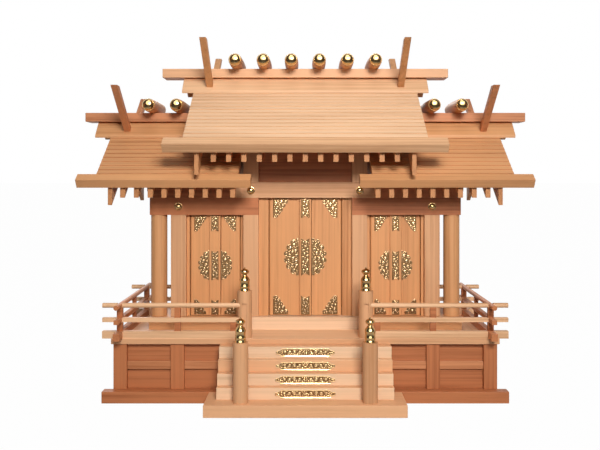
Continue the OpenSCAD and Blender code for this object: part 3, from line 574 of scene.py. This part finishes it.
def turned(profile, place, axis):
    """A lathe-turned solid: (radius, height) points spun round an axis that starts at a place."""
    bm = bmesh.new()
    verts = [bm.verts.new((r, 0, h)) for r, h in profile]
    edges = [bm.edges.new(pair) for pair in zip(verts, verts[1:])]
    bmesh.ops.spin(bm, geom=verts + edges, cent=(0, 0, 0), axis=(0, 0, 1), angle=math.tau,
                   steps=TURN_STEPS, use_merge=True)
    bmesh.ops.remove_doubles(bm, verts=bm.verts, dist=FINE_WELD)
    bmesh.ops.recalc_face_normals(bm, faces=bm.faces)
    turn = Vector((0, 0, 1)).rotation_difference(Vector(axis)).to_matrix().to_4x4()
    bmesh.ops.transform(bm, matrix=Matrix.Translation(place) @ turn, verts=bm.verts)
    return bm


def join(parts):
    """One bmesh out of several."""
    whole = bmesh.new()
    for part in parts:
        mesh = bpy.data.meshes.new("part")
        part.to_mesh(mesh)
        part.free()
        whole.from_mesh(mesh)
        bpy.data.meshes.remove(mesh)
    return whole


def arc(radius, height, degrees):
    """(radius, height) points along an ellipse."""
    return [(radius * math.cos(a), height * math.sin(a)) for a in map(math.radians, degrees)]


def turn_brass_caps():
    """Onion caps on the newels."""
    ball = [(r, CAP_BALL_MIDDLE + h) for r, h in arc(*CAP_BALL, CAP_BALL_DEGREES)]
    caps = []
    for low, high in solids("newel_caps"):
        height, radius = high.z - low.z, (high.x - low.x) / 2
        outline = [(r * radius, h * height) for r, h in CAP_BODY + ball + CAP_POINT]
        centre = ((low.x + high.x) / 2, (low.y + high.y) / 2, low.z)
        caps.append(turned(outline, centre, (0, 0, 1)))
    add_piece(join(caps), "onion_caps", "brass", SHRINE, ["newel_caps"], sharp=BRASS_SHARP)


def domed(radius, height, shape):
    """Profile of a dome on a collar."""
    collar_share, straight, top, foot = shape
    collar = collar_share * height
    outline = [(0, 0), (radius, 0), (radius, collar * straight), (radius * top, collar)]
    dome = arc(radius, height - collar, DOME_DEGREES) + [(0, height - collar)]
    return outline + [(r * foot, collar + h) for r, h in dome]


def turn_domes():
    """Smooth domes on the beams and on both ends of the ridge logs."""
    studs, ends = [], []
    for low, high in solids("beam_studs"):
        centre = ((low.x + high.x) / 2, high.y, (low.z + high.z) / 2)
        outline = domed((high.x - low.x) / 2, high.y - low.y, STUD_SHAPE)
        studs.append(turned(outline, centre, (0, -1, 0)))
    for low, high in solids("log_caps"):
        front = low.y < sum(v.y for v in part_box("ridge_logs")) / 2
        centre = ((low.x + high.x) / 2, high.y if front else low.y, (low.z + high.z) / 2)
        outline = domed((high.x - low.x) / 2, high.y - low.y, LOG_END_SHAPE)
        ends.append(turned(outline, centre, (0, -1 if front else 1, 0)))
    add_piece(join(studs), "brass_studs", "brass", SHRINE, ["beam_studs"],
              sharp=BRASS_SHARP)
    add_piece(join(ends), "brass_log_ends", "brass", SHRINE, ["log_caps"],
              sharp=BRASS_SHARP)


def turn_logs():
    """Barrel-shaped ridge logs, turned smooth and with a flat to lie on."""
    places = [i / LOG_STEPS for i in range(1, LOG_STEPS)]
    places = [LOG_CHAMFER_LENGTH] + places + [1 - LOG_CHAMFER_LENGTH]
    logs = []
    for low, high in solids("ridge_logs"):
        radius, length = (high.x - low.x) / 2, high.y - low.y
        end, bulge = radius * LOG_TAPER, radius * (1 - LOG_TAPER)
        barrel = [(end + bulge * math.sin(math.pi * t), t * length) for t in places]
        rim = end * LOG_CHAMFER
        outline = [(0, 0), (rim, 0)] + barrel + [(rim, length), (0, length)]
        log = turned(outline, ((low.x + high.x) / 2, low.y, high.z - radius), (0, 1, 0))
        cut = bmesh.ops.bisect_plane(log, geom=everything(log), plane_co=low, plane_no=(0, 0, 1),
                                     clear_inner=True)["geom_cut"]
        bmesh.ops.holes_fill(log, edges=[e for e in cut if isinstance(e, bmesh.types.BMEdge)])
        logs.append(log)
    whole = join(logs)
    mark_boards(whole)
    add_piece(whole, "turned_logs", "amber_y", SHRINE, ["ridge_logs"], sharp=LOG_SHARP)


def plate_outlines(node):
    """For each plate of a node, the closed (x, z) outline of its front face and that face's y."""
    bm = merged(node)
    outlines = []
    for group in islands(bm):
        front = min(v.co.y for v in group)
        rim = {v: [] for v in group if v.co.y < front + RIM_DEPTH}
        for vert in rim:
            for edge in vert.link_edges:
                other = edge.other_vert(vert)
                if other in rim and any(abs(f.normal.y) < EDGE_ON for f in edge.link_faces):
                    rim[vert].append(other)
        start = next(v for v in rim if len(rim[v]) == 2)
        loop, last, here = [start], None, start
        while True:
            ahead = rim[here][0] if rim[here][0] is not last else rim[here][1]
            if ahead is start:
                break
            loop.append(ahead)
            last, here = here, ahead
        outlines.append(([Vector((v.co.x, v.co.z)) for v in loop], front))
    bm.free()
    return outlines


class Vine:
    """Brass scrollwork on the front of a plate: a rim, packed scrolls, leaves and berries."""

    def __init__(self, outline, face_y, seed):
        self.outline, self.face_y = outline, face_y
        self.draw = random.Random(seed)
        self.curve = bpy.data.curves.new("vine", "CURVE")
        self.curve.dimensions = "3D"
        self.curve.bevel_resolution = 1
        self.curve.bevel_depth = 1 * MM
        self.leaves, self.placed = [], []

    def stem(self, points, closed=False):
        """A bead along (x, z, radius) points."""
        spline = self.curve.splines.new("POLY")
        spline.points.add(len(points) - 1)
        spline.use_cyclic_u = closed
        for point, (x, z, radius) in zip(spline.points, points):
            point.co = (x, self.face_y, z, 1)
            point.radius = radius / MM

    def rim(self, bead):
        """A bead all round the outline."""
        self.stem([(p.x, p.y, bead) for p in self.outline], True)

    def spiral(self, centre, radius, bead, start=None, hand=None, turns=SCROLL_TURNS):
        """A scroll that winds in to a berry, either way round and from anywhere unless told."""
        start = self.draw.uniform(0, math.tau) if start is None else start
        hand = hand or self.draw.choice((-1, 1))
        self.placed.append((centre, radius))
        points = []
        for i in range(SCROLL_STEPS + 1):
            t = i / SCROLL_STEPS
            angle = start + hand * math.tau * turns * t
            reach = (radius - bead) * (1 - SCROLL_WIND * t)
            points.append((centre.x + reach * math.cos(angle), centre.y + reach * math.sin(angle),
                           bead * (BEAD_START + BEAD_GROWTH * t)))
        self.stem(points)
        self.leaf(centre, radius * BERRY_SHARE, radius * BERRY_SHARE, 0)

    def leaf(self, centre, length, width, turn):
        self.leaves.append((centre, length, width, turn))

    def inside(self, point):
        """How far a point is inside the outline; below zero where it is outside."""
        within, nearest = False, 1.0
        for a, b in zip(self.outline, self.outline[1:] + self.outline[:1]):
            if (a.y > point.y) != (b.y > point.y):
                if point.x < (b.x - a.x) * (point.y - a.y) / (b.y - a.y) + a.x:
                    within = not within
            foot, share = intersect_point_line(point, a, b)
            foot = a if share < 0 else b if share > 1 else foot.to_2d()
            nearest = min(nearest, (point - foot).length)
        return nearest if within else -nearest

    def pack(self, sizes, rim):
        """Fills the outline with scrolls, the largest first, and leaves in the gaps that remain."""
        low_x, high_x = min(p.x for p in self.outline), max(p.x for p in self.outline)
        low_z, high_z = min(p.y for p in self.outline), max(p.y for p in self.outline)
        area = (high_x - low_x) * (high_z - low_z) / MM ** 2
        for size in sizes:
            for _ in range(max(LEAST_TRIES, int(area * TRIES_PER_AREA))):
                spot = Vector((self.draw.uniform(low_x, high_x), self.draw.uniform(low_z, high_z)))
                if any((spot - other).length < (size + wide) * CLOSENESS
                       for other, wide in self.placed):
                    continue
                if self.inside(spot) < size + rim * RIM_CLEAR:
                    continue
                if size > LEAF_MOST:
                    self.spiral(spot, size, BEAD_BASE + BEAD_SHARE * size)
                else:
                    self.placed.append((spot, size))
                    self.leaf(spot, size * LEAF_LENGTH, size * LEAF_WIDTH,
                              self.draw.uniform(0, math.tau))

    def build(self, bm):
        """Adds the finished scrollwork to a bmesh."""
        known = len(bm.verts)
        holder = bpy.data.objects.new("vine", self.curve)
        bpy.context.scene.collection.objects.link(holder)
        shown = holder.evaluated_get(bpy.context.evaluated_depsgraph_get())
        mesh = bpy.data.meshes.new_from_object(shown)
        bpy.data.objects.remove(holder)
        bm.from_mesh(mesh)
        bpy.data.meshes.remove(mesh)
        for vert in bm.verts[known:]:
            vert.co.y = self.face_y + (vert.co.y - self.face_y) * BEAD_FLAT
        for centre, length, width, turn in self.leaves:
            place = Matrix.Translation((centre.x, self.face_y, centre.y))
            shape = place @ Matrix.Rotation(turn, 4, "Y")
            shape = shape @ Matrix.Diagonal((length, BERRY_FLAT * width, width, 1))
            bmesh.ops.create_icosphere(bm, subdivisions=2, radius=1, matrix=shape)


def dress_doors():
    """Scrollwork on the brass plates of every leaf."""
    for number, door in enumerate(DOORS):
        for side in SIDES:
            node = f"{door}_{side}_plates"
            bm = bmesh.new()
            for count, (outline, face_y) in enumerate(plate_outlines(node)):
                width = max(p.x for p in outline) - min(p.x for p in outline)
                strip = width < STRIP_WIDEST and len(outline) < STRIP_POINTS
                vine = Vine(outline, face_y, 100 * number + 10 * count + len(side))
                vine.rim(DOOR_RIM)
                vine.pack(STRIP_SCROLLS if strip else DOOR_SCROLLS, DOOR_RIM)
                vine.build(bm)
            # The scrolls take the darker scroll brass: painted shade
            add_piece(bm, f"{node}_scrolls", "scroll", f"{door}_{side}",
                      sharp=SCROLL_SHARP)
            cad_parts[node].data.materials[0] = finish["ground"]


def lower_band(bm, low_x, high_x, low_z, face_y):
    """A bright convex band on a plate, along its lower edge and tapered at both ends."""
    first, last = BAND_TURN
    edge = Vector((0, face_y + BAND_SINK, low_z))
    section = [Vector((low_x, 0, 0))]
    for i in range(BAND_STEPS + 1):
        turn = first + (last - first) * i / BAND_STEPS
        section.append(Vector((low_x, -BAND_CURVE * (math.cos(turn) - math.cos(last)),
                               BAND_CURVE * (math.sin(turn) - math.sin(first)))))
    verts = [bm.verts.new(edge + point * Vector((1, BAND_TIP, BAND_TIP))) for point in section]
    cap = bm.faces.new(verts)
    made = [cap]
    lengths = ((BAND_TAPER, 1 / BAND_TIP), (high_x - low_x - 2 * BAND_TAPER, 1),
               (BAND_TAPER, BAND_TIP))
    for reach, size in lengths:
        grown = bmesh.ops.extrude_face_region(bm, geom=[cap])["geom"]
        verts = [part for part in grown if isinstance(part, bmesh.types.BMVert)]
        cap = next(part for part in grown if isinstance(part, bmesh.types.BMFace))
        bmesh.ops.translate(bm, vec=(reach, 0, 0), verts=verts)
        bmesh.ops.scale(bm, vec=(1, size, size), verts=verts, space=Matrix.Translation(-edge))
        made += [face for vert in verts for face in vert.link_faces]
    bmesh.ops.recalc_face_normals(bm, faces=list({face for face in made if face.is_valid}))


def dress_risers():
    """Mirrored scrolls about a flower on each riser's plate, over a bright band."""
    bm = bmesh.new()
    for count, (outline, face_y) in enumerate(plate_outlines("riser_plates")):
        vine = Vine(outline, face_y, RISER_SEED + count)
        low, high = min(p.y for p in outline), max(p.y for p in outline)
        vine.rim(RISER_RIM)
        middle = Vector((0, low + RISER_MIDDLE * (high - low)))
        for side in (-1, 1):
            for number, (x, radius) in enumerate(RISER_SCROLLS):
                vine.spiral(middle + Vector((side * x, 0)), radius, RISER_BEAD * radius,
                            start=math.pi / 2 - side * math.pi / 2,
                            hand=side * (1 if number % 2 else -1), turns=RISER_TURNS)
        for petal in range(PETALS):
            turn = math.tau * petal / PETALS
            way = Vector((math.cos(turn), math.sin(turn)))
            vine.leaf(middle + PETAL_REACH * way, PETAL_LENGTH, PETAL_WIDTH, -turn)
        vine.placed.append((middle, FLOWER_RADIUS))
        vine.pack(RISER_BERRIES, RISER_RIM_ROOM)
        vine.build(bm)
        edge = [p.x for p in outline if p.y < low + BAND_ZONE * (high - low)]
        lower_band(bm, min(edge), max(edge), low, face_y)
    # The riser scrolls and band take the paler chased brass: painted highlight
    add_piece(bm, "riser_scrolls", "chased", SHRINE, sharp=SCROLL_SHARP)
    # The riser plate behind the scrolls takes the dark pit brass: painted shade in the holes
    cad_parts["riser_plates"].data.materials[0] = finish["pit"]


def build_stage():
    """A pale floor that stays white to the camera and still takes the shadow."""
    s = Shader("pale_floor")
    s.finish(Base_Color=FLOOR_TONE, Roughness=FLOOR_ROUGHNESS, Specular_IOR_Level=0.0)
    camera, mirror = s.seen()
    behind = s.fade(s.y_of(s.node("ShaderNodeTexCoord", output="Object")), FLOOR_FADE)
    glow = s.node("ShaderNodeEmission", None, {"Color": WHITE, "Strength": 1.0})
    lit = Value(s, s.surface.outputs[0])
    mixed = s.node("ShaderNodeMixShader", None,
                   {0: (camera + mirror * behind) * FLOOR_GLOW, 1: lit, 2: glow})
    s.tree.links.new(mixed.socket, s.tree.nodes["Material Output"].inputs["Surface"])
    bm = bmesh.new()
    bmesh.ops.create_grid(bm, x_segments=1, y_segments=1, size=FLOOR_HALF)
    mesh = bpy.data.meshes.new("floor")
    bm.to_mesh(mesh)
    bm.free()
    mesh.materials.append(s.material)
    floor = bpy.data.objects.new("floor", mesh)
    bpy.context.scene.collection.objects.link(floor)
    floor.location.z = -FLOOR_DROP


def build_world():
    """White to the camera; mirrors see the dim room behind it and the card; else soft light."""
    world = bpy.data.worlds.new("studio")
    bpy.context.scene.world = world
    world.use_nodes = True
    g = Graph(world.node_tree)
    camera, mirror = g.seen()
    way = g.node("ShaderNodeTexCoord", output="Generated")
    dim = g.fade(g.y_of(way), ROOM_FADE, (1.0, 0.0))
    card = g.fade(g.dot(way, CARD_WAY), CARD_EDGE)
    room = 1.0 - dim * ROOM_DIM + card * CARD_GLOW
    strength = camera + mirror * room + (1.0 - camera - mirror) * AMBIENT
    background = g.tree.nodes["Background"]
    g.feed(background.inputs["Strength"], strength)
    g.feed(background.inputs["Color"], WHITE)


def softbox(name, place, target, size, power, spread):
    light = bpy.data.lights.new(name, "AREA")
    light.spread = math.radians(spread)
    light.shape = "RECTANGLE"
    light.size, light.size_y = size
    light.energy = power
    lamp = bpy.data.objects.new(name, light)
    bpy.context.scene.collection.objects.link(lamp)
    lamp.location = place
    lamp.rotation_euler = (Vector(target) - Vector(place)).to_track_quat("-Z", "Y").to_euler()


def build_camera():
    camera = bpy.data.cameras.new("camera")
    camera.sensor_width = 36
    camera.lens = camera.sensor_width * FOCAL_PX / PHOTO_W
    camera.shift_x = (PHOTO_W / 2 - CENTRE_PX) / PHOTO_W
    camera.shift_y = (HORIZON_PX - PHOTO_H / 2) / PHOTO_W
    camera.clip_start = 0.05
    holder = bpy.data.objects.new("camera", camera)
    bpy.context.scene.collection.objects.link(holder)
    holder.location = CAMERA_PLACE
    holder.rotation_euler = (math.radians(90), 0, 0)
    bpy.context.scene.camera = holder


ease_wood()
turn_brass_caps()
turn_domes()
turn_logs()
dress_doors()
dress_risers()
build_stage()
build_world()
for values in SOFTBOXES:
    softbox(*values)
build_camera()
bpy.context.scene.view_settings.view_transform = "Standard"
